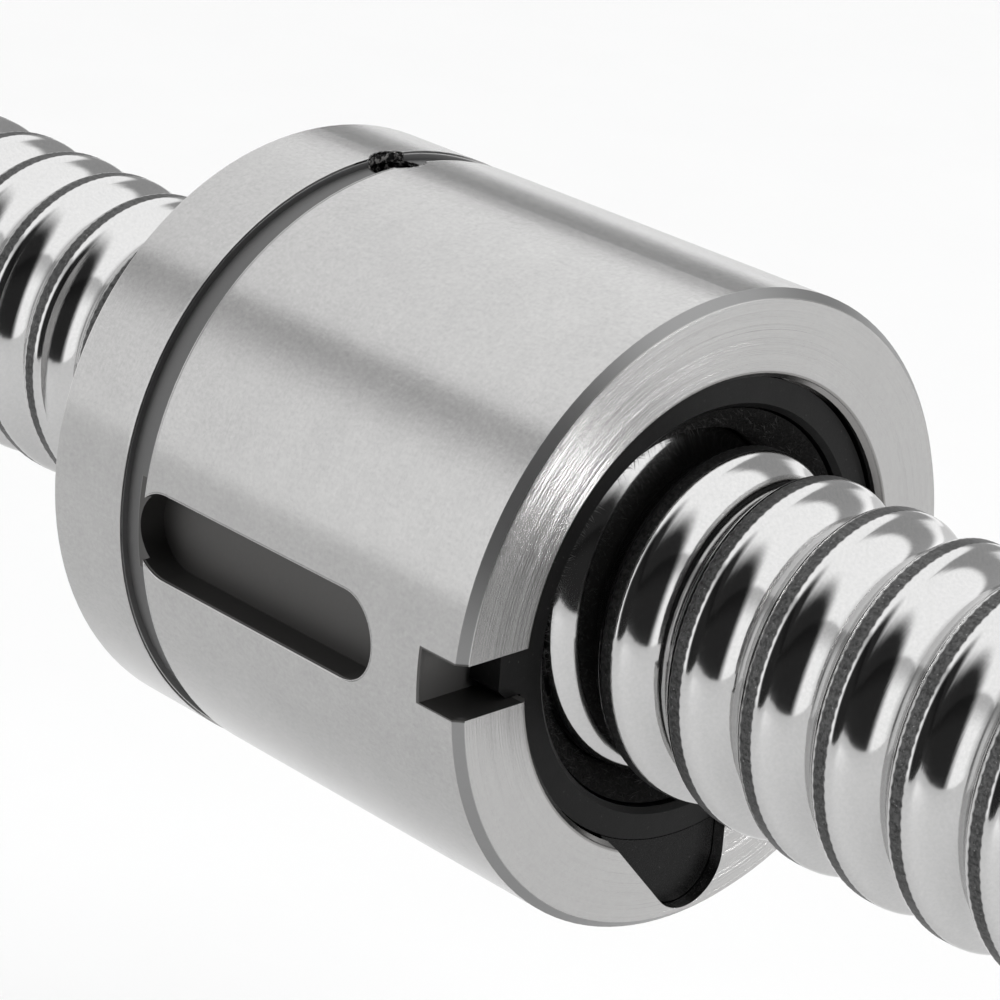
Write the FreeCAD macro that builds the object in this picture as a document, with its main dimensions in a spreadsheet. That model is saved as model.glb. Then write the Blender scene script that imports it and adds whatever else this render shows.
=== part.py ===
import FreeCAD
import Part
import Sketcher
import collections
import itertools
import math
import os
import re

# Ball screw nut on its screw. The axis is X with the front end face at +X, the keyway faces -Y,
# the lubrication hole points to +Z and the ball return bore lies below the axis, at -Z.
# The origin is on the axis, half way along the nut.

# Driving dimensions, in millimetres
SIZES = [
    ("pitch_radius", 10.0),
    ("ball_radius", 1.75),
    ("ball_gap", 0.05),
    ("thread_lead", 5.0),
    ("circuit_turns", 3.0),
    ("track_clearance", 0.08),
    ("track_overcut", 0.6),
    ("land_drop", 0.5),
    ("screw_front", 53.0),
    ("screw_rear", 65.0),
    ("screw_end_chamfer", 1.5),
    ("bore_rise", 0.35),
    ("pocket_step", 2.25),
    ("seat_step", 0.6),
    ("seat_depth", 3.0),
    ("seat_edge", 0.3),
    ("channel_clearance", 0.1),
    ("return_wall", 0.25),
    ("flank_wall", 0.55),
    ("cap_wall", 0.8),
    ("insert_wall", 0.5),
    ("insert_floor_wall", 0.25),
    ("insert_clearance", 0.05),
    ("insert_screw_gap", 0.3),
    ("bend_radius", 3.0),
    ("return_gap", 0.4),
    ("nut_wall", 0.65),
    ("nut_length", 34.0),
    ("front_chamfer", 0.5),
    ("oil_groove_offset", 26.0),
    ("oil_groove_width", 2.0),
    ("oil_groove_depth", 0.5),
    ("oil_hole_radius", 1.55),
    ("keyway_offset", 6.8),
    ("keyway_length", 20.0),
    ("keyway_width", 5.0),
    ("keyway_depth", 2.1),
    ("slot_width", 3.0),
    ("face_drop", 0.8),
    ("ring_clearance", 0.15),
    ("ring_gap", 1.8),
    ("ring_edge", 0.3),
    ("tongue_length", 1.45),
    ("tongue_clearance", 0.05),
    ("tongue_corner", 0.5),
    ("wiper_width", 2.4),
    ("wiper_clearance", 0.15),
    ("wiper_gap", 0.1),
    ("wiper_nose_drop", 1.3),
    ("wiper_end_gap", 0.05),
]

# Sizes that follow from the driving ones, so that every fit keeps together
FITS = [
    ("screw_radius", "pitch_radius - land_drop"),
    ("bore_radius", "pitch_radius + bore_rise"),
    ("pocket_radius", "bore_radius + pocket_step"),
    ("seat_radius", "pocket_radius + seat_step"),
    ("recess_depth", "seat_depth + wiper_width"),
    ("channel_radius", "ball_radius + channel_clearance"),
    ("return_radius", "pocket_radius + return_wall + channel_radius"),
    ("flank_radius", "pitch_radius + ball_radius + flank_wall"),
    ("cap_tip_radius", "channel_radius + cap_wall"),
    ("insert_tip_radius", "channel_radius + insert_wall"),
    ("nut_radius", "return_radius + cap_tip_radius + nut_wall"),
    ("ring_radius", "seat_radius - ring_clearance"),
    ("ring_bore_radius", "screw_radius + ring_gap"),
    ("tongue_reach", "ring_radius + tongue_length"),
    ("wiper_radius", "pocket_radius - wiper_clearance"),
    ("wiper_nose_radius", "ring_bore_radius - wiper_clearance"),
    ("wiper_bore_radius", "screw_radius + wiper_gap"),
]

# The ball track is cut with three flats that stand clear of the ball, each over so many degrees.
FLAT_COUNT = 3
FLAT_SPAN = 50.0

doc = FreeCAD.newDocument("ball_screw_nut")
sheet = doc.addObject("Spreadsheet::Sheet", "Sizes")
for row, (alias, number) in enumerate(SIZES, start=1):
    sheet.set(f"A{row}", alias)
    sheet.set(f"B{row}", str(number))
    sheet.setAlias(f"B{row}", alias)
fits = doc.addObject("App::VarSet", "Fits")
doc.recompute()


def size(name):
    """The value of one driving or following size."""
    return getattr(fits, name) if name in fits.PropertiesList else float(sheet.get(name))


def bind(item, **formulas):
    """Ties properties of an object to the sizes, which are the names with an underscore."""
    for name, text in formulas.items():
        linked = text
        for word in set(re.findall(r"[a-z]+(?:_[a-z]+)+", text)):
            home = "Fits" if word in fits.PropertiesList else "Sizes"
            linked = re.sub(rf"\b{word}\b", f"{home}.{word}", linked)
        item.setExpression(name.replace("__", "."), linked)
    return item


for name, text in FITS:
    fits.addProperty("App::PropertyFloat", name)
    bind(fits, **{name: text})
doc.recompute()

FRONT = "nut_length / 2"
RUNOUT = "ceil((nut_length / thread_lead - circuit_turns) / 2)"
TANGENT_ANGLE = "acos(pitch_radius / return_radius)"
PICKUP_X = f"thread_lead * (circuit_turns / 2 - {TANGENT_ANGLE} / 360 deg)"
TO_X = FreeCAD.Rotation(FreeCAD.Vector(0, 1, 0), 90)
HALF_TURN = FreeCAD.Placement(FreeCAD.Vector(), FreeCAD.Rotation(FreeCAD.Vector(0, 0, 1), 180))


def outline(sketch, points):
    """Closes a polygon whose corners are pairs of formulas, each measured from the sketch's origin."""
    count = len(points)
    corners = []
    for index in range(count):
        turn = 2 * math.pi * index / count
        corners.append(FreeCAD.Vector(math.cos(turn), math.sin(turn), 0))
    for index in range(count):
        sketch.addGeometry(Part.LineSegment(corners[index], corners[(index + 1) % count]), False)
    for index in range(count):
        sketch.addConstraint(Sketcher.Constraint("Coincident", index, 2, (index + 1) % count, 1))
    for index, point in enumerate(points):
        for kind, start, text in zip(("DistanceX", "DistanceY"), corners[index], point):
            number = sketch.addConstraint(Sketcher.Constraint(kind, -1, 1, index, 1, start))
            bind(sketch, **{f"Constraints[{number}]": text})


def body_sketch(body, role, points):
    """A sketch on one of the body's own origin planes."""
    sketch = body.newObject("Sketcher::SketchObject", body.Name + "_profile")
    plane = next(item for item in body.Origin.OriginFeatures if item.Role == role)
    sketch.AttachmentSupport = [(plane, "")]
    sketch.MapMode = "FlatFace"
    outline(sketch, points)
    return sketch


def turned(name, points):
    """A piece turned about the X axis from pairs of distance along it and radius."""
    body = doc.addObject("PartDesign::Body", name)
    sketch = body_sketch(body, "XZ_Plane", points)
    turning = body.newObject("PartDesign::Revolution", name + "_turning")
    turning.Profile = sketch
    turning.ReferenceAxis = (sketch, ["H_Axis"])
    turning.Angle = 360
    return body


def prism(name, front, depth, points):
    """A prism whose outline lies square to the axis, from its front plane back by its depth."""
    body = doc.addObject("PartDesign::Body", name)
    sketch = body_sketch(body, "YZ_Plane", points)
    bind(sketch, AttachmentOffset__Base__z=front)
    pad = body.newObject("PartDesign::Pad", name + "_pad")
    pad.Profile = sketch
    pad.Reversed = True
    bind(pad, Length=depth)
    return body


def rod(name, radius, start, length, below="0"):
    """A cylinder along the axis, from its start, at a distance below the axis."""
    item = doc.addObject("Part::Cylinder", name)
    item.Placement = FreeCAD.Placement(FreeCAD.Vector(), TO_X)
    return bind(item, Radius=radius, Height=length, Placement__Base__x=start,
                Placement__Base__z=f"-({below})")


def fused(name, pieces):
    item = doc.addObject("Part::MultiFuse", name)
    item.Shapes = pieces
    return item


def cut(name, base, tools):
    item = doc.addObject("Part::Cut", name)
    item.Base = base
    item.Tool = tools[0] if len(tools) == 1 else fused(name + "_cuts", tools)
    return item


def at_rear(name, piece):
    """The same cutter turned half a turn about the vertical, for the rear end of the nut."""
    item = doc.addObject("Part::Compound", name)
    item.Links = [piece]
    item.Placement = HALF_TURN
    return item


# Ball track

def track_section(name, start, side):
    """The section of the ball track, beside the axis at the helix's start: three flats round the ball.

    side is 1 for the nut's half, outside the ball circle, and -1 for the screw's half.
    """
    sketch = doc.addObject("Sketcher::SketchObject", name)
    sketch.Placement = FreeCAD.Placement(
        FreeCAD.Vector(), FreeCAD.Rotation(FreeCAD.Vector(1, 0, 0), 90))
    corner = f"(ball_radius + track_clearance) / cos({FLAT_SPAN / 2} deg)"
    points = []
    for index in range(FLAT_COUNT + 1):
        turn = 90 + FLAT_SPAN * (index - FLAT_COUNT / 2)
        points.append((f"{start} + {corner} * cos({turn} deg)",
                       f"-(pitch_radius + {side} * {corner} * sin({turn} deg))"))
    for reach in (-1, 1):
        points.append((f"{start} + {reach} * {corner}",
                       f"-(pitch_radius - {side} * track_overcut)"))
    outline(sketch, points)
    return sketch


def track_cutter(name, start, length, side):
    """A right-hand helical sweep of the track's section, to be cut from the nut or the screw."""
    helix = doc.addObject("Part::Helix", name + "_helix")
    helix.SegmentLength = 1.0
    helix.Placement = FreeCAD.Placement(FreeCAD.Vector(), TO_X)
    bind(helix, Pitch="thread_lead", Height=length, Radius="screw_radius", Placement__Base__x=start)
    section = track_section(name + "_section", start, side)
    doc.recompute()
    sweep = doc.addObject("Part::Sweep", name)
    sweep.Sections = [section]
    sweep.Spine = (helix, [f"Edge{index + 1}" for index in range(len(helix.Shape.Edges))])
    sweep.Solid = True
    sweep.Frenet = True
    return sweep


# Deflector pocket and insert share one outline: a round tip at the return bore, a flank that leaves
# the ball circle as a tangent, and a flank that runs straight up into the bore.

def lobe(name, tip, flank, front, depth):
    lean = f"acos(({flank} - ({tip})) / return_radius)"
    reach = "pitch_radius - ball_radius"
    side = prism(name + "_flanks", front, depth, [
        (f"-({flank}) * sin({lean})", f"-({flank}) * cos({lean})"),
        (f"-({tip}) * sin({lean})", f"-return_radius - ({tip}) * cos({lean})"),
        ("0", "-return_radius"),
        (tip, "-return_radius"),
        (tip, f"-({reach})"),
        (f"-({reach}) * sin({lean})", f"-({reach}) * cos({lean})"),
    ])
    tip_rod = rod(name + "_tip", tip, f"{front} - ({depth})", depth, "return_radius")
    return fused(name, [side, tip_rod])


def deflector_form(name, allowance):
    """The stepped form of the deflector: cap, insert and the spigot over the return bore."""
    insert_front = f"{FRONT} - seat_depth"
    insert_floor = f"{PICKUP_X} - channel_radius - insert_floor_wall"
    spigot_end = f"{PICKUP_X} - bend_radius"
    cap = lobe(name + "_cap", f"cap_tip_radius - {allowance}", f"flank_radius - {allowance}",
               FRONT, "seat_depth")
    insert = lobe(name + "_insert", f"insert_tip_radius - {allowance}",
                  f"flank_radius - {allowance}", insert_front, f"{insert_front} - ({insert_floor})")
    spigot = rod(name + "_spigot", f"insert_tip_radius - {allowance}", spigot_end,
                 f"{insert_floor} - ({spigot_end})", "return_radius")
    return fused(name, [cap, insert, spigot])


# Nut body: turned, then milled, drilled and ground

def nut_body():
    groove_front = f"{FRONT} - oil_groove_offset"
    groove_rear = f"{groove_front} - oil_groove_width"
    groove_floor = "nut_radius - oil_groove_depth"
    blank = turned("nut_blank", [
        (f"-{FRONT}", "seat_radius + seat_edge"),
        (f"-{FRONT} + seat_edge", "seat_radius"),
        (f"-{FRONT} + seat_depth", "seat_radius"),
        (f"-{FRONT} + seat_depth", "pocket_radius"),
        (f"-{FRONT} + recess_depth", "pocket_radius"),
        (f"-{FRONT} + recess_depth", "bore_radius"),
        (f"{FRONT} - recess_depth", "bore_radius"),
        (f"{FRONT} - recess_depth", "pocket_radius"),
        (f"{FRONT} - seat_depth", "pocket_radius"),
        (f"{FRONT} - seat_depth", "seat_radius"),
        (f"{FRONT} - seat_edge", "seat_radius"),
        (FRONT, "seat_radius + seat_edge"),
        (FRONT, "nut_radius - front_chamfer"),
        (f"{FRONT} - front_chamfer", "nut_radius"),
        (groove_front, "nut_radius"),
        (groove_front, groove_floor),
        (groove_rear, groove_floor),
        (groove_rear, "nut_radius"),
        (f"-{FRONT}", "nut_radius"),
    ])
    slot = doc.addObject("Part::Box", "seal_slot")
    bind(slot, Length="seat_depth", Width="nut_radius - pocket_radius / 2", Height="slot_width",
         Placement__Base__x=f"{FRONT} - seat_depth", Placement__Base__y="-nut_radius",
         Placement__Base__z="-slot_width / 2")
    oil_hole = doc.addObject("Part::Cylinder", "oil_hole")
    bind(oil_hole, Radius="oil_hole_radius", Height="nut_radius",
         Placement__Base__x=f"{FRONT} - oil_groove_offset - oil_groove_width / 2",
         Placement__Base__z="bore_radius / 2")
    return_bore = rod("return_bore", "channel_radius", f"-({PICKUP_X} - bend_radius)",
                      f"2 * ({PICKUP_X} - bend_radius)", "return_radius")
    track = track_cutter("nut_track", f"-thread_lead * (circuit_turns / 2 + {RUNOUT})",
                         f"thread_lead * (circuit_turns + 2 * {RUNOUT})", 1)
    pocket = deflector_form("deflector_pocket", "0")
    return cut("nut_body", blank, [
        keyway_cutter(), slot, at_rear("rear_seal_slot", slot), oil_hole, return_bore, pocket,
        at_rear("rear_deflector_pocket", pocket), track])


def keyway_cutter():
    """A keyway with full round ends, cut into the cylinder on the -Y side."""
    middle = doc.addObject("Part::Box", "keyway_middle")
    rear_end = f"{FRONT} - keyway_offset - keyway_length"
    floor = "-(nut_radius - keyway_depth)"
    bind(middle, Length="keyway_length - keyway_width", Width="keyway_depth + front_chamfer",
         Height="keyway_width", Placement__Base__x=f"{rear_end} + keyway_width / 2",
         Placement__Base__y=f"{floor} - keyway_depth - front_chamfer",
         Placement__Base__z="-keyway_width / 2")
    ends = []
    for name, centre in (("keyway_rear_end", f"{rear_end} + keyway_width / 2"),
                         ("keyway_front_end", f"{FRONT} - keyway_offset - keyway_width / 2")):
        end = doc.addObject("Part::Cylinder", name)
        end.Placement = FreeCAD.Placement(
            FreeCAD.Vector(), FreeCAD.Rotation(FreeCAD.Vector(1, 0, 0), 90))
        bind(end, Radius="keyway_width / 2", Height="keyway_depth + front_chamfer",
             Placement__Base__x=centre, Placement__Base__y=floor)
        ends.append(end)
    return fused("keyway", [middle] + ends)


# Screw: a ground rod with chamfered ends and the helical ball track along its whole length

def screw_shaft():
    blank = turned("screw_blank", [
        ("-screw_rear", "0"),
        ("-screw_rear", "screw_radius - screw_end_chamfer"),
        ("-screw_rear + screw_end_chamfer", "screw_radius"),
        ("screw_front - screw_end_chamfer", "screw_radius"),
        ("screw_front", "screw_radius - screw_end_chamfer"),
        ("screw_front", "0"),
    ])
    start = "-thread_lead * (circuit_turns / 2 + ceil(screw_rear / thread_lead))"
    turns = "circuit_turns + ceil(screw_rear / thread_lead) + ceil(screw_front / thread_lead)"
    track = track_cutter("screw_track", start, f"thread_lead * ({turns})", -1)
    return cut("screw_shaft", blank, [track])


# Seal ring: a flat plastic ring in the counterbore, keyed by a tongue in the nut's end slot

def seal_ring(end):
    face = f"{FRONT} - face_drop"
    back = f"{FRONT} - seat_depth"
    ring = turned(end + "_seal_flat", [
        (face, "ring_bore_radius + ring_edge"),
        (f"{face} - ring_edge", "ring_bore_radius"),
        (back, "ring_bore_radius"),
        (back, "ring_radius"),
        (face, "ring_radius"),
    ])
    half = "slot_width / 2 - tongue_clearance"
    tongue = prism(end + "_seal_tongue", face, "seat_depth - face_drop", [
        ("-(ring_radius + ring_bore_radius) / 2", f"-({half})"),
        ("-tongue_reach + tongue_corner", f"-({half})"),
        ("-tongue_reach", f"-({half}) + tongue_corner"),
        ("-tongue_reach", f"{half} - tongue_corner"),
        ("-tongue_reach + tongue_corner", half),
        ("-(ring_radius + ring_bore_radius) / 2", half),
    ])
    return fused(end + "_seal_ring", [ring, tongue])


# Wiper: a felt ring in the pocket behind the seal ring, with a nose that fills the ring's bore

def wiper(end):
    floor = f"{FRONT} - recess_depth + wiper_end_gap"
    shoulder = f"{FRONT} - seat_depth - wiper_end_gap"
    nose = f"{FRONT} - wiper_nose_drop"
    return turned(end + "_wiper", [
        (floor, "wiper_bore_radius"),
        (floor, "wiper_radius"),
        (shoulder, "wiper_radius"),
        (shoulder, "wiper_nose_radius"),
        (nose, "wiper_nose_radius"),
        (nose, "wiper_bore_radius"),
    ])


# Deflector: a moulded insert that lifts the balls out of the track and turns them into the return bore

# Where the balls leave the track: the angle past the bore, the point, the direction and the bore
Circuit = collections.namedtuple("Circuit", "angle leave along bore")


def circuit():
    angle = math.acos(size("pitch_radius") / size("return_radius"))
    pickup = size("thread_lead") * (size("circuit_turns") / 2 - angle / (2 * math.pi))
    leave = FreeCAD.Vector(pickup, -size("pitch_radius") * math.sin(angle),
                           -size("pitch_radius") * math.cos(angle))
    bore = FreeCAD.Vector(pickup, 0, -size("return_radius"))
    return Circuit(angle, leave, (bore - leave).normalize(), bore)


def channel_path(lead_in):
    """The centre line of the channel: straight off the track, then a bend into the return bore."""
    angle, leave, along, bore = circuit()
    radius = size("bend_radius")
    back = FreeCAD.Vector(-1, 0, 0)
    start = bore - along * radius
    end = bore + back * radius
    middle = bore + (back - along) * radius * (1 - math.sqrt(0.5))
    return [
        Part.LineSegment(leave - along * lead_in, start).toShape(),
        Part.Arc(start, middle, end).toShape(),
    ]


def deflector(end):
    form = deflector_form(end + "_deflector_form", "insert_clearance")
    path = doc.addObject("Part::Feature", end + "_channel_path")
    path.Shape = Part.Wire(channel_path(size("ball_radius")))
    section = doc.addObject("Part::Feature", end + "_channel_section")
    angle, leave, along, bore = circuit()
    section.Shape = Part.Wire(Part.makeCircle(
        size("channel_radius"), leave - along * size("ball_radius"), along))
    channel = doc.addObject("Part::Sweep", end + "_channel")
    channel.Sections = [section]
    channel.Spine = (path, ["Edge1", "Edge2"])
    channel.Solid = True
    face = f"{FRONT} - face_drop"
    seat = f"{FRONT} - seat_depth"
    over_cap = rod(end + "_face_relief", "nut_radius", face, "face_drop")
    beside_ring = rod(end + "_ring_relief", "ring_radius + insert_clearance", seat, "seat_depth")
    beside_wiper = rod(end + "_wiper_relief", "pocket_radius + insert_clearance",
                       f"{FRONT} - recess_depth - insert_clearance", "recess_depth")
    round_screw = rod(end + "_screw_relief", "screw_radius + insert_screw_gap",
                      "-nut_length", "2 * nut_length")
    return cut(end + "_deflector", form, [over_cap, beside_ring, beside_wiper, round_screw, channel])


# Balls: each is a geodesic solid, which keeps the many of them light

def geodesic_ball():
    """A ball of eighty flats with its corners on the sphere."""
    golden = (1 + math.sqrt(5)) / 2
    corners = []
    for one in (-1, 1):
        for other in (-golden, golden):
            corners.append(FreeCAD.Vector(0, one, other))
            corners.append(FreeCAD.Vector(one, other, 0))
            corners.append(FreeCAD.Vector(other, 0, one))
    side = min(corners[0].distanceToPoint(corner) for corner in corners[1:])
    radius = size("ball_radius")

    def on_sphere(*points):
        middle = sum(points, FreeCAD.Vector())
        return middle.normalize() * radius

    faces = []
    for a, b, c in itertools.combinations(corners, 3):
        sides = [a.distanceToPoint(b), b.distanceToPoint(c), c.distanceToPoint(a)]
        if all(math.isclose(length, side) for length in sides):
            ends = [on_sphere(a), on_sphere(b), on_sphere(c)]
            mids = [on_sphere(a, b), on_sphere(b, c), on_sphere(c, a)]
            faces.append((ends[0], mids[0], mids[2]))
            faces.append((mids[0], ends[1], mids[1]))
            faces.append((mids[2], mids[1], ends[2]))
            faces.append(mids)
    shell = Part.makeShell([Part.Face(Part.makePolygon([*face, face[0]])) for face in faces])
    shell.sewShape()
    solid = Part.makeSolid(shell)
    if solid.Volume < 0:
        solid.reverse()
    return solid


def loaded_places():
    """Centres of the loaded balls along the helix, with the turn each one lies in."""
    angle, leave, along, bore = circuit()
    lead = size("thread_lead")
    radius = size("pitch_radius")
    sweep = 2 * math.pi * size("circuit_turns") - 2 * angle
    length = sweep * math.hypot(radius, lead / (2 * math.pi))
    count = int(length / (2 * size("ball_radius") + size("ball_gap")))
    for index in range(count):
        back = sweep * (index + 0.5) / count
        turn = -math.pi / 2 - angle - back
        centre = FreeCAD.Vector(leave.x - lead * back / (2 * math.pi),
                                radius * math.cos(turn), radius * math.sin(turn))
        yield int(back / (2 * math.pi)), centre


def return_places():
    """Centres of the balls on their way back, spaced evenly from deflector to deflector."""
    angle, leave, along, bore = circuit()
    there = Part.Wire(channel_path(0.0))
    rear = there.copy()
    rear.Placement = HALF_TURN
    half = FreeCAD.Vector(leave.x - size("bend_radius"), 0, 0)
    middle = FreeCAD.Vector(0, 0, bore.z)
    straight = Part.LineSegment(middle + half, middle - half).toShape()
    runs = there.Edges + [straight] + rear.Edges[::-1]
    total = sum(edge.Length for edge in runs)
    count = int(total / (2 * size("ball_radius") + size("return_gap")))
    for index in range(count):
        rest = total * (index + 0.5) / count
        for number, edge in enumerate(runs):
            if rest <= edge.Length:
                way = edge.Length - rest if number > len(there.Edges) else rest
                yield number, edge.valueAt(edge.getParameterByLength(way))
                break
            rest -= edge.Length


def ball_group(name, places, ball):
    item = doc.addObject("Part::Feature", name)
    copies = []
    for place in places:
        copy = ball.copy()
        copy.translate(place)
        copies.append(copy)
    item.Shape = Part.makeCompound(copies)
    return item


def ball_groups():
    ball = geodesic_ball()
    groups = {}
    for turn, centre in loaded_places():
        groups.setdefault(f"loaded_balls_turn_{turn + 1}", []).append(centre)
    homes = ("front_deflector", "front_deflector", "return_bore", "rear_deflector", "rear_deflector")
    for number, centre in return_places():
        groups.setdefault(homes[number] + "_balls", []).append(centre)
    return [ball_group(name, places, ball) for name, places in sorted(groups.items())]


# Assembly

pieces = [nut_body(), screw_shaft()]
for end in ("front", "rear"):
    for make in (seal_ring, wiper, deflector):
        piece = make(end)
        if end == "rear":
            piece.Placement = HALF_TURN
        pieces.append(piece)
pieces += ball_groups()
doc.recompute()

# Checks, then one file for each piece

for item in doc.Objects:
    if "Invalid" in item.State or "Error" in item.State:
        raise SystemExit(f"{item.Name} failed: {item.State}")
for piece in pieces:
    piece.Label = piece.Name
    if piece.Shape.isNull() or not piece.Shape.isValid():
        raise SystemExit(f"{piece.Name} has no valid shape")

os.makedirs("parts", exist_ok=True)
for piece in pieces:
    piece.Shape.exportStep(f"parts/{piece.Label}.step")
    print(piece.Label, len(piece.Shape.Solids), round(piece.Shape.Volume, 2))
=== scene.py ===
import math

import bmesh
import bpy
import numpy as np
from mathutils import Matrix, Vector


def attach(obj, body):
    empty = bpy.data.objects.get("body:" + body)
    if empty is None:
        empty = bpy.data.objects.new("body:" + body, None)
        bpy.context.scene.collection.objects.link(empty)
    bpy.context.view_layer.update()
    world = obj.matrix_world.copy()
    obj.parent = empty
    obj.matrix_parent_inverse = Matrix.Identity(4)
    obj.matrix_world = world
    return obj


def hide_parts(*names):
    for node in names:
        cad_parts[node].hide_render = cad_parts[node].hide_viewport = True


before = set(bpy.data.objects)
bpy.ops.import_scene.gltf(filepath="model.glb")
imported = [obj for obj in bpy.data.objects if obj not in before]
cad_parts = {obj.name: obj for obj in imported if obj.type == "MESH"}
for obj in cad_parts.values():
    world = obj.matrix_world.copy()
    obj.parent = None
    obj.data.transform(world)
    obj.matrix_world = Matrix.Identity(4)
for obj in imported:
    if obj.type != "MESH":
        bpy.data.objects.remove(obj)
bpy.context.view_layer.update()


# Nut body
# Bearing steel, turned, milled and hardened, with a ground outside and freshly turned end faces.
# The keyway and the seal slots are milled, and the oil groove is a plain turned recess.

# In millimetres, along the axis from the nut's middle and out from the axis
NUT_RADIUS = 18.0
NUT_END = 17.0
CHAMFER_START = 16.5
RECESS_RADIUS = 13.6
GROOVE_REAR = -11.0
GROOVE_FRONT = -9.0
OIL_HOLE_AT = -10.0
KEY_MIDDLE = 0.2
KEY_STRAIGHT = 7.5
KEY_HALF_WIDTH = 2.5
SLOT_START = 13.8
SLOT_HALF_WIDTH = 1.5


class Number:
    """A number in a node tree. Plain arithmetic on it adds the Math nodes."""

    def __init__(self, recipe, socket):
        self.recipe = recipe
        self.socket = socket

    def math(self, operation, *others):
        inputs = dict(enumerate((self, *others)))
        return self.recipe.add("ShaderNodeMath", {"operation": operation}, inputs).out()

    def __add__(self, other):
        return self.math("ADD", other)

    def __sub__(self, other):
        return self.math("SUBTRACT", other)

    def __mul__(self, other):
        return self.math("MULTIPLY", other)

    def __pow__(self, other):
        return self.math("POWER", other)

    def __neg__(self):
        return self.math("MULTIPLY", -1.0)

    def __rsub__(self, other):
        return -self + other

    __radd__ = __add__
    __rmul__ = __mul__

    def above(self, edge, soft):
        """0 below the edge, 1 above it, with a ramp as wide as soft."""
        return self.recipe.add("ShaderNodeMapRange", {"interpolation_type": "SMOOTHSTEP"}, {
            "Value": self, "From Min": edge - soft / 2, "From Max": edge + soft / 2}).out()

    def below(self, edge, soft):
        return 1.0 - self.above(edge, soft)

    def between(self, low, high, soft):
        return self.above(low, soft) * self.below(high, soft)


class Made:
    """A node that has been added, with its outputs at hand."""

    def __init__(self, recipe, node):
        self.recipe = recipe
        self.node = node

    def out(self, name=0):
        return Number(self.recipe, self.node.outputs[name])


class Recipe:
    """The node tree of a material or of a mesh, filled through one method."""

    def __init__(self, tree):
        self.tree = tree

    def add(self, kind, settings=None, inputs=None):
        node = self.tree.nodes.new(kind)
        for name, value in (settings or {}).items():
            setattr(node, name, value)
        for name, value in (inputs or {}).items():
            socket = node.inputs[name]
            if isinstance(value, Number):
                self.tree.links.new(value.socket, socket)
            else:
                socket.default_value = value
        return Made(self, node)


class Finish(Recipe):
    """A material read from the piece's own coordinates, which are given in millimetres."""

    def __init__(self, name, **constants):
        self.material = bpy.data.materials.new(name)
        self.material.use_nodes = True
        super().__init__(self.material.node_tree)
        self.shader = self.tree.nodes["Principled BSDF"]
        for socket, value in constants.items():
            self.shader.inputs[socket.replace("_", " ")].default_value = value
        place = self.add("ShaderNodeTexCoord").out("Object")
        self.place = self.add("ShaderNodeVectorMath", {"operation": "SCALE"}, {
            0: place, "Scale": 1000.0}).out()
        split = self.add("ShaderNodeSeparateXYZ", None, {0: self.place})
        self.x, self.y, self.z = split.out(0), split.out(1), split.out(2)
        self.radius = (self.y * self.y + self.z * self.z) ** 0.5
        self.angle = self.z.math("ARCTAN2", self.y)

    def vector(self, x, y, z):
        return self.add("ShaderNodeCombineXYZ", None, {0: x, 1: y, 2: z}).out()

    def noise(self, scale, detail=3.0, where=None, rough=0.5):
        return self.add("ShaderNodeTexNoise", None, {
            "Vector": where or self.place, "Scale": scale, "Detail": detail,
            "Roughness": rough}).out("Fac")

    def mix(self, share, first, second):
        return self.add("ShaderNodeMix", {"data_type": "RGBA"}, {
            "Factor": share, "A": first, "B": second}).out("Result")

    def set(self, socket, value):
        self.tree.links.new(value.socket, self.shader.inputs[socket])

    def bump(self, height, distance):
        """Relief whose height of 1 stands for a distance in millimetres."""
        raised = self.add("ShaderNodeBump", None, {
            "Height": height, "Distance": distance / 1000.0}).out()
        self.set("Normal", raised)


def grey(level, warm=0.0):
    """A grey by its linear level, a little warmer where asked."""
    return (level * (1.0 + warm), level, level * (1.0 - warm), 1.0)


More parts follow.
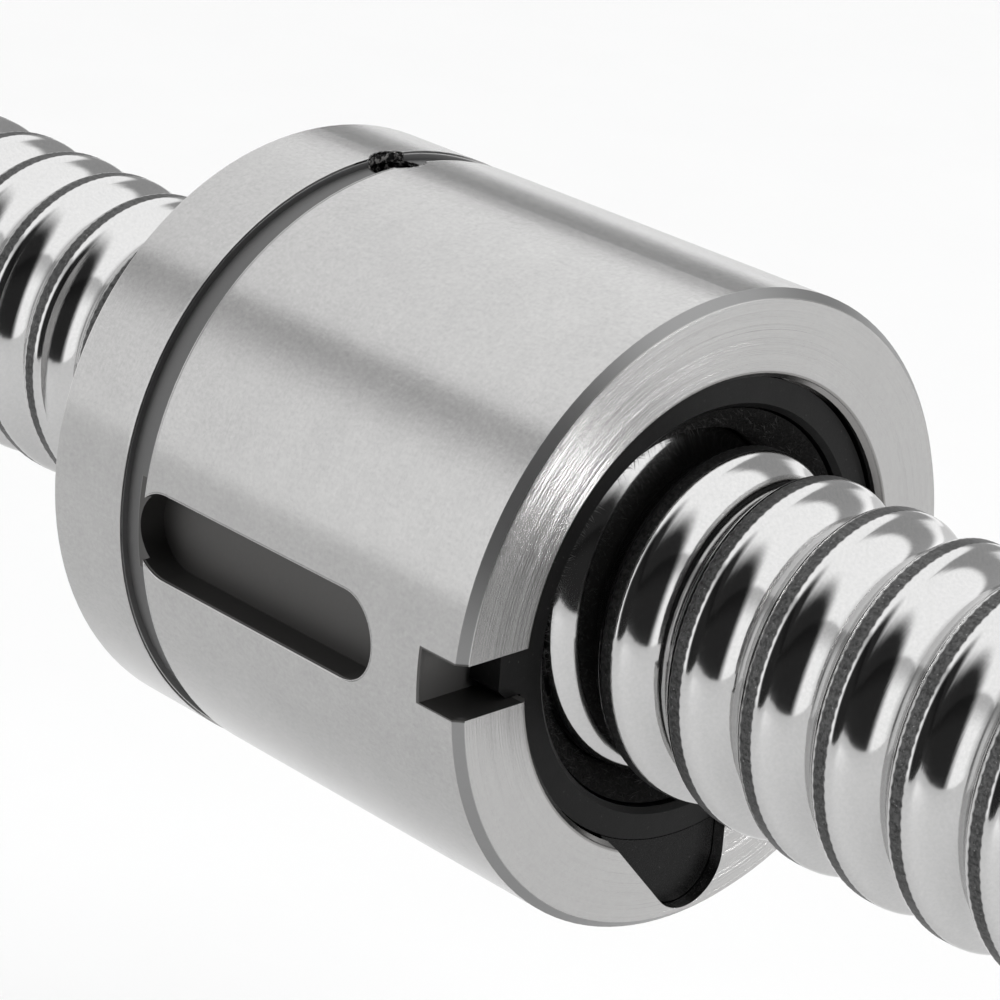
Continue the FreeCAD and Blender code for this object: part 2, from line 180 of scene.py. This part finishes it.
def ground_steel():
    steel = Finish("ground_steel", Metallic=1.0, IOR=2.5)
    x, y, z, radius = steel.x, steel.y, steel.z, steel.radius

    # Where each surface is
    outside = radius.above(NUT_RADIUS - 0.15, 0.1) * x.below(CHAMFER_START + 0.02, 0.04)
    end_face = x.above(NUT_END - 0.05, 0.04) + x.below(-NUT_END + 0.04, 0.04)
    chamfer = x.between(CHAMFER_START, NUT_END - 0.03, 0.04) * radius.above(17.3, 0.1)
    keyway = (x.between(-10.0, 10.4, 0.1) * y.below(-15.0, 0.1)
              * radius.below(NUT_RADIUS - 0.1, 0.06))
    slot = (x.between(SLOT_START, NUT_END - 0.02, 0.02) * y.below(-13.0, 0.1)
            * z.between(-SLOT_HALF_WIDTH - 0.1, SLOT_HALF_WIDTH + 0.1, 0.1))
    milled = keyway * z.between(-KEY_HALF_WIDTH - 0.2, KEY_HALF_WIDTH + 0.2, 0.05) + slot
    off_middle = ((x - KEY_MIDDLE).math("ABSOLUTE") - KEY_STRAIGHT).math("MAXIMUM", 0.0)
    from_key = (off_middle * off_middle + z * z) ** 0.5 - KEY_HALF_WIDTH
    key_edge = outside * y.below(-15.0, 0.1) * from_key.below(0.07, 0.1)
    groove_edge = outside * x.between(GROOVE_REAR - 0.1, GROOVE_FRONT + 0.1, 0.1)
    hollow = radius.between(17.35, NUT_RADIUS - 0.15, 0.04) * x.below(10.0, 0.1) * (1.0 - milled)
    bore = ((x - OIL_HOLE_AT) ** 2.0 + y * y).below(2.7, 0.3) * z.above(13.0, 0.1)
    inside = radius.below(RECESS_RADIUS, 0.1)

    # What marks it
    grain = steel.noise(4.5, 4.0, rough=0.6)
    haze = steel.noise(0.35, 3.0, rough=0.6)
    strokes = steel.noise(1.0, 3.0, steel.vector(x * 26.0, steel.angle * 5.0, radius * 4.0))
    turning = steel.noise(1.0, 0.0, steel.vector(radius * 75.0, steel.angle * 0.3, x * 0.5))
    scuffs = steel.noise(1.0, 4.0, steel.vector(x * 1.6, steel.angle * 70.0, radius * 4.0), 0.7)
    swarf = steel.noise(3.5, 3.0, rough=0.7).above(0.55, 0.1)

    mottle = grain * 0.9 + scuffs * 0.6 + haze * 0.4 - 0.45
    tone = steel.mix(mottle, grey(0.35, 0.004), grey(0.50, 0.008))
    tone = steel.mix(chamfer, tone, grey(0.26))
    tone = steel.mix(end_face * turning, tone, grey(0.47, 0.01))
    tone = steel.mix(milled, tone, grey(0.10, 0.02))
    tone = steel.mix(hollow, tone, grey(0.19))
    tone = steel.mix(bore, tone, steel.mix(swarf, grey(0.03), grey(0.4, 0.02)))
    tone = steel.mix(inside, tone, grey(0.25, 0.02))
    steel.set("Base Color", tone)
    steel.set("Roughness", 0.12 + grain * 0.07 + scuffs * 0.04 + end_face * 0.04 + chamfer * 0.22
              + milled * 0.34 + hollow * 0.48)
    relief = outside * (grain * 0.5 + strokes * 0.8) + end_face * turning * 1.7
    broken = key_edge * 14.0 + groove_edge * 4.0
    steel.bump(relief + milled * grain + bore * swarf * 12.0 - broken, 0.006)
    return steel.material


def dress(node, material):
    """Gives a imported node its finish."""
    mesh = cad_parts[node].data
    mesh.materials.clear()
    mesh.materials.append(material)


dress("nut_body", ground_steel())


# Screw
# Induction-hardened steel with a ground and polished right-hand ball groove of 5 mm lead. The flat
# lands between the turns keep a dark, speckled skin, and their edges are rounded and bright.

# In metres
SCREW_FRONT = 0.053
SCREW_REAR = -0.065
SCREW_LEAD = 0.005
SCREW_END_RADIUS = 0.008
TRACK_START = 0.0025
STEPS_A_TURN = 96

# In millimetres
SCREW_RIM = 9.5


def screw_section():
    """One turn's profile, as distance along the axis from the groove's middle and radius, in mm."""
    centre, arc, corner, half_lead = 10.0, 1.85, 0.6, 2.5
    above = centre - SCREW_RIM + corner
    middle = math.sqrt((arc + corner) ** 2 - above ** 2)
    reach = math.atan2(middle, above)
    groove = []
    for turn in np.linspace(-reach, reach, 15):
        groove.append((arc * math.sin(turn), centre - arc * math.cos(turn)))
    side = []
    for turn in np.linspace(reach, 0.0, 7)[1:]:
        side.append((middle - corner * math.sin(turn),
                     SCREW_RIM - corner + corner * math.cos(turn)))
    side += [((middle + half_lead) / 2.0, SCREW_RIM), (half_lead, SCREW_RIM)]
    return [(-along, radius) for along, radius in reversed(side)] + groove + side


def screw_sweep():
    """The profile swept along the helix, held within both chamfered ends, as points and quads."""
    section = np.array(screw_section()) / 1000.0
    first = math.floor((SCREW_REAR - TRACK_START) / SCREW_LEAD) - 1
    last = math.ceil((SCREW_FRONT - TRACK_START) / SCREW_LEAD) + 1
    angle = np.linspace(first, last, (last - first) * STEPS_A_TURN + 1) * 2.0 * math.pi
    shift = TRACK_START + SCREW_LEAD * angle / (2.0 * math.pi)
    along = shift[:, None] + section[None, :, 0]
    kept = np.clip(along, SCREW_REAR, SCREW_FRONT)
    room = np.minimum(SCREW_FRONT - along, along - SCREW_REAR)
    radius = np.minimum(section[None, :, 1], SCREW_END_RADIUS + np.maximum(room, 0.0))
    turn = angle[:, None] - math.pi / 2.0
    points = np.stack([kept, radius * np.cos(turn), radius * np.sin(turn)], -1).reshape(-1, 3)
    index = np.arange(along.size).reshape(along.shape)
    quads = np.stack([index[:-1, :-1], index[:-1, 1:], index[1:, 1:], index[1:, :-1]], -1)
    return points.tolist(), quads.reshape(-1, 4).tolist()


def opened(mesh):
    work = bmesh.new()
    work.from_mesh(mesh)
    return work


def closed(work, mesh, sharp_from):
    """Writes the faces back, turned outwards, with smooth shading up to an angle in degrees."""
    bmesh.ops.recalc_face_normals(work, faces=work.faces)
    work.to_mesh(mesh)
    work.free()
    mesh.shade_smooth()
    mesh.set_sharp_from_angle(angle=math.radians(sharp_from))


def screw_mesh():
    mesh = bpy.data.meshes.new("screw")
    points, quads = screw_sweep()
    mesh.from_pydata(points, [], quads)
    work = opened(mesh)
    bmesh.ops.remove_doubles(work, verts=work.verts, dist=0.000004)
    bmesh.ops.dissolve_degenerate(work, edges=work.edges, dist=0.000002)
    ends = [edge for edge in work.edges if edge.is_boundary]
    bmesh.ops.holes_fill(work, edges=ends, sides=0)
    closed(work, mesh, 30.0)
    return mesh


def screw_steel():
    steel = Finish("screw_steel", Metallic=1.0, IOR=2.5)
    land = steel.radius.above(SCREW_RIM - 0.01, 0.012)
    cut = (steel.x.above(SCREW_FRONT * 1000.0 - 0.02, 0.02)
           + steel.x.below(SCREW_REAR * 1000.0 + 0.02, 0.02))
    speckle = steel.noise(9.0, 3.0, rough=0.7)
    pits = steel.noise(5.0, 4.0, rough=0.65)
    honing = steel.noise(1.0, 2.0, steel.vector(steel.radius * 14.0, steel.angle * 0.8,
                                                steel.x * 14.0))
    marks = steel.noise(1.0, 1.0, steel.vector(steel.radius * 18.0, steel.angle * 0.6, 0.0))
    skin = steel.mix(pits.above(0.5, 0.5), grey(0.03), grey(0.11))
    skin = steel.mix(speckle.above(0.68, 0.06), skin, grey(0.4))
    tone = steel.mix(pits, grey(0.47), grey(0.60, 0.005))
    tone = steel.mix(land, tone, skin)
    steel.set("Base Color", steel.mix(cut, tone, grey(0.36)))
    steel.set("Roughness", 0.07 + pits * 0.06 + land * 0.35 + cut * 0.2)
    steel.bump(honing * 0.4 + pits * 0.12 + land * speckle * 0.8 + cut * marks * 3.0, 0.004)
    return steel.material


def add_object(name, data):
    item = bpy.data.objects.new(name, data)
    bpy.context.scene.collection.objects.link(item)
    return item


screw = add_object("screw", screw_mesh())
screw.data.materials.append(screw_steel())
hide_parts("screw_shaft")
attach(screw, "screw")


# Seal rings
# Flat rings moulded in black plastic that sit in the counterbores. A tongue on each one locks into
# the slot in the nut's end, so that the ring can't turn.

def black_plastic(name, level, roughness):
    plastic = Finish(name, IOR=1.5, Specular_IOR_Level=0.1)
    fine = plastic.noise(11.0, 4.0, rough=0.6)
    blotch = plastic.noise(0.9, 3.0)
    dust = plastic.noise(6.0, 2.0).above(0.72, 0.04)
    tone = plastic.mix(blotch, grey(level * 0.8), grey(level * 1.3))
    plastic.set("Base Color", plastic.mix(dust * 0.4, tone, grey(0.09, 0.02)))
    plastic.set("Roughness", roughness + fine * 0.15)
    plastic.bump(fine * 0.7 + blotch * 0.6, 0.02)
    return plastic.material


for end in ("front", "rear"):
    dress(end + "_seal_ring", black_plastic(end + "_ring_plastic", 0.008, 0.24))


# Deflectors
# Moulded black plastic inserts that lift the balls off the track and turn them into the return
# bore. Only their caps show, level with the seal rings.

for end in ("front", "rear"):
    dress(end + "_deflector", black_plastic(end + "_deflector_plastic", 0.005, 0.2))


# Felt wipers
# Pressed felt rings, dark with grease, that wipe the screw behind the seal rings. Loose fibres
# stand out of their inner edge.

def greased_felt():
    felt = Finish("greased_felt", IOR=1.45, Specular_IOR_Level=0.12)
    fibre = felt.noise(7.0, 5.0, rough=0.7)
    wet = felt.noise(5.0, 3.0)
    felt.set("Base Color", felt.mix(fibre, grey(0.003), grey(0.02, 0.03)))
    felt.set("Roughness", 0.8 - wet.above(0.55, 0.2) * 0.4)
    felt.bump(fibre, 0.2)
    return felt.material


def bristle():
    hair = Finish("felt_fibre", IOR=1.5, Specular_IOR_Level=0.6)
    hair.set("Base Color", hair.mix(hair.noise(3.0), grey(0.01), grey(0.12, 0.02)))
    hair.set("Roughness", 0.25 + hair.noise(5.0) * 0.3)
    return hair.material


class Growth(Recipe):
    """A Geometry Nodes tree with named inputs, which ends as realised mesh of one material."""

    def __init__(self, name, **values):
        super().__init__(bpy.data.node_groups.new(name, "GeometryNodeTree"))
        self.values = values
        face = self.tree.interface
        face.new_socket("Geometry", in_out="INPUT", socket_type="NodeSocketGeometry")
        for label, value in values.items():
            kind = "NodeSocketInt" if isinstance(value, int) else "NodeSocketFloat"
            face.new_socket(label, in_out="INPUT", socket_type=kind)
        face.new_socket("Geometry", in_out="OUTPUT", socket_type="NodeSocketGeometry")
        self.given = self.add("NodeGroupInput")

    def random(self, low, high, offset):
        """A number for each copy, from the tree's own seed."""
        seed = self.given.out("Seed") + float(offset)
        return self.add("FunctionNodeRandomValue", {"data_type": "FLOAT"}, {
            2: low, 3: high, "Seed": seed}).out(1)

    def end(self, copies, material):
        solid = self.add("GeometryNodeRealizeInstances", None, {"Geometry": copies}).out()
        smooth = self.add("GeometryNodeSetShadeSmooth", None, {"Geometry": solid}).out()
        painted = self.add("GeometryNodeSetMaterial", None, {
            "Geometry": smooth, "Material": material}).out()
        self.add("NodeGroupOutput", None, {"Geometry": painted})

    def grow(self, name, places=()):
        """A plain mesh object, grown from points in metres where the tree asks for them."""
        start = bpy.data.meshes.new(name + "_places")
        start.from_pydata(places, [], [])
        item = add_object(name, start)
        modifier = item.modifiers.new("growth", "NODES")
        modifier.node_group = self.tree
        for socket in self.tree.interface.items_tree:
            if socket.in_out == "INPUT" and socket.name in self.values:
                modifier[socket.identifier] = self.values[socket.name]
        shown = item.evaluated_get(bpy.context.evaluated_depsgraph_get())
        item.data = bpy.data.meshes.new_from_object(shown)
        item.modifiers.clear()
        return item


def loose_fibres(material):
    """Thin cones round the origin's X axis that lean inwards and out of the felt's face."""
    fibres = Growth("loose_fibres", Count=700, Edge=0.0098, Spread=0.0013, Length=0.0006,
                    Thickness=0.00002, Face=0.0144, Dish=1.0, Seed=7)
    turn = fibres.random(0.0, 2.0 * math.pi, 1)
    outward = fibres.given.out("Spread") * fibres.random(0.0, 1.0, 2)
    radius = fibres.given.out("Edge") + outward
    inward = fibres.random(-0.3, 1.0, 3)
    aside = fibres.random(-0.9, 0.9, 4)
    across, height = turn.math("COSINE"), turn.math("SINE")
    place = fibres.add("ShaderNodeCombineXYZ", None, {
        0: fibres.given.out("Face") + outward * fibres.given.out("Dish"),
        1: radius * across, 2: radius * height}).out()
    lean = fibres.add("ShaderNodeCombineXYZ", None, {
        0: fibres.random(0.25, 0.9, 5), 1: -(inward * across) - aside * height,
        2: aside * across - inward * height}).out()
    points = fibres.add("GeometryNodePoints", None, {
        "Count": fibres.given.out("Count"), "Position": place}).out()
    cone = fibres.add("GeometryNodeMeshCone", None, {
        "Vertices": 4, "Radius Top": 0.0, "Radius Bottom": fibres.given.out("Thickness"),
        "Depth": fibres.given.out("Length")}).out("Mesh")
    turned = fibres.add("FunctionNodeAlignRotationToVector", {"axis": "Z"}, {
        "Vector": lean}).out()
    copies = fibres.add("GeometryNodeInstanceOnPoints", None, {
        "Points": points, "Instance": cone, "Rotation": turned,
        "Scale": fibres.random(0.4, 1.0, 6)}).out()
    fibres.end(copies, material)
    return fibres


def felt_ring():
    """The front ring, turned from its section, with a face that is dished and worn uneven."""
    section = [(11.65, 9.60), (11.65, 12.45), (13.95, 12.45), (13.95, 11.15), (15.65, 11.15),
               (15.50, 10.95), (15.10, 10.55), (14.70, 10.15), (14.35, 9.80), (14.15, 9.62)]
    worn, wear = range(5, 9), 0.07
    rounds, count = 160, len(section)
    chance = np.random.default_rng(3)
    corners = []
    faces = []
    for step in range(rounds):
        turn = 2.0 * math.pi * step / rounds
        for number, (along, radius) in enumerate(section):
            if number in worn:
                along += chance.uniform(-wear, wear)
            corners.append((along / 1000.0, radius * math.cos(turn) / 1000.0,
                            radius * math.sin(turn) / 1000.0))
            after = (number + 1) % count
            here, there = step * count, (step + 1) % rounds * count
            faces.append((here + number, here + after, there + after, there + number))
    ring = bpy.data.meshes.new("felt_ring")
    ring.from_pydata(corners, [], faces)
    closed(opened(ring), ring, 50.0)
    return ring


felt_finish = greased_felt()
fibre_growth = loose_fibres(bristle())
for end, turn in (("front", 0.0), ("rear", math.pi)):
    dress(end + "_wiper", felt_finish)
    pad = add_object(end + "_felt", felt_ring())
    pad.data.materials.append(felt_finish)
    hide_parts(end + "_wiper")
    fuzz = fibre_growth.grow(end + "_felt_fibres")
    for piece in (pad, fuzz):
        piece.data.transform(Matrix.Rotation(turn, 4, "Z"))
        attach(piece, "wipers")


# Balls
# Hardened and polished steel balls of 3.5 mm, loaded in the track and coming back through the
# deflectors and the return bore.

def ball_steel():
    steel = Finish("ball_steel", Metallic=1.0, IOR=2.5)
    film = steel.noise(1.2, 3.0)
    steel.set("Base Color", steel.mix(film, grey(0.62), grey(0.76)))
    steel.set("Roughness", 0.07 + film * 0.07)
    return steel.material


def round_balls(material):
    """Puts a round ball on each point."""
    balls = Growth("round_balls", Radius=0.00175, Fineness=4)
    ball = balls.add("GeometryNodeMeshIcoSphere", None, {
        "Radius": balls.given.out("Radius"),
        "Subdivisions": balls.given.out("Fineness")}).out("Mesh")
    copies = balls.add("GeometryNodeInstanceOnPoints", None, {
        "Points": balls.given.out("Geometry"), "Instance": ball}).out()
    balls.end(copies, material)
    return balls


def ball_centres(node):
    """The middle of each ball in a packed group, in the order of the group's corners."""
    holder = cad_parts[node]
    work = opened(holder.data)
    bmesh.ops.remove_doubles(work, verts=work.verts, dist=0.000001)
    seen = set()
    centres = []
    for start in work.verts:
        if start in seen:
            continue
        seen.add(start)
        ball = [start]
        for corner in ball:
            for edge in corner.link_edges:
                other = edge.other_vert(corner)
                if other not in seen:
                    seen.add(other)
                    ball.append(other)
        middle = sum((corner.co for corner in ball), Vector()) / len(ball)
        centres.append(holder.matrix_world @ middle)
    work.free()
    return centres


ball_finish = ball_steel()
ball_growth = round_balls(ball_finish)
for node in ("loaded_balls_turn_1", "loaded_balls_turn_2", "loaded_balls_turn_3",
             "front_deflector_balls", "rear_deflector_balls", "return_bore_balls"):
    dress(node, ball_finish)
    balls = ball_growth.grow("round_" + node, ball_centres(node))
    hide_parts(node)
    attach(balls, "nut")


# Setting
# A plain pale floor in a white tent, with dark gaps between the tent's sides that the steel
# mirrors, and one small lamp for the front face. Seen from where the photograph was taken.

FLOOR_HEIGHT = -0.06
FLOOR_REACH = 3.0

floor_corners = [(across * FLOOR_REACH, along * FLOOR_REACH, FLOOR_HEIGHT)
                 for across, along in ((-1, -1), (1, -1), (1, 1), (-1, 1))]
floor = add_object("floor", bpy.data.meshes.new("floor"))
floor.data.from_pydata(floor_corners, [], [(0, 1, 2, 3)])
paper = Finish("floor_paper", Roughness=0.9, Emission_Strength=0.17)
paper.set("Base Color", paper.mix(paper.noise(0.05), grey(0.74), grey(0.76)))
floor.data.materials.append(paper.material)

world = bpy.data.worlds.new("studio")
bpy.context.scene.world = world
world.use_nodes = True
tent = Recipe(world.node_tree)
sky = tent.tree.nodes["Background"].inputs
sky["Color"].default_value = (1, 1, 1, 1)
seen_from = tent.add("ShaderNodeTexCoord").out("Generated")
way = tent.add("ShaderNodeSeparateXYZ", None, {0: seen_from})
ahead, across, height = way.out(0), way.out(1), way.out(2)
round_axis = height.math("ARCTAN2", across) * (180.0 / math.pi)
room = (ahead * 0.73 - across * 0.61 + height * 0.31).above(0.64, 0.26)
upper_gap = round_axis.above(117.0, 3.0) * round_axis.below(133.0, 22.0)
gaps = round_axis.between(6.0, 31.0, 8.0) * 0.7 + upper_gap * 0.5
behind = ahead.below(-0.8, 0.36) * 0.55
shine = (1.0 - gaps) * (1.0 - room * 0.98) * (1.0 - behind) * 1.5
tent.tree.links.new(shine.socket, sky["Strength"])

lamp_stand = Vector((0.68, 0.098, 0.08))
lamp_data = bpy.data.lights.new("front_strip", "AREA")
lamp_data.shape = "RECTANGLE"
lamp_data.size, lamp_data.size_y = 0.1, 0.16
lamp_data.energy = 2.4
lamp = add_object("front_strip", lamp_data)
lamp.location = lamp_stand
lamp.rotation_euler = (-lamp_stand).to_track_quat("-Z", "Y").to_euler()

camera_stand = Vector((0.144005, -0.138051, 0.080833))
camera_right = Vector((0.67148399, 0.73802765, 0.06651644))
camera_up = Vector((-0.3174719, 0.20541173, 0.92575246))
camera_sight = Vector((-0.66956765, 0.64274505, -0.37223373))
camera_data = bpy.data.cameras.new("camera")
camera_data.lens = 138.4
camera_data.sensor_width = 36.0
camera = add_object("camera", camera_data)
camera.matrix_world = Matrix.Translation(camera_stand) @ Matrix(
    (camera_right, camera_up, -camera_sight)).transposed().to_4x4()
bpy.context.scene.camera = camera
bpy.context.scene.view_settings.view_transform = "Standard"
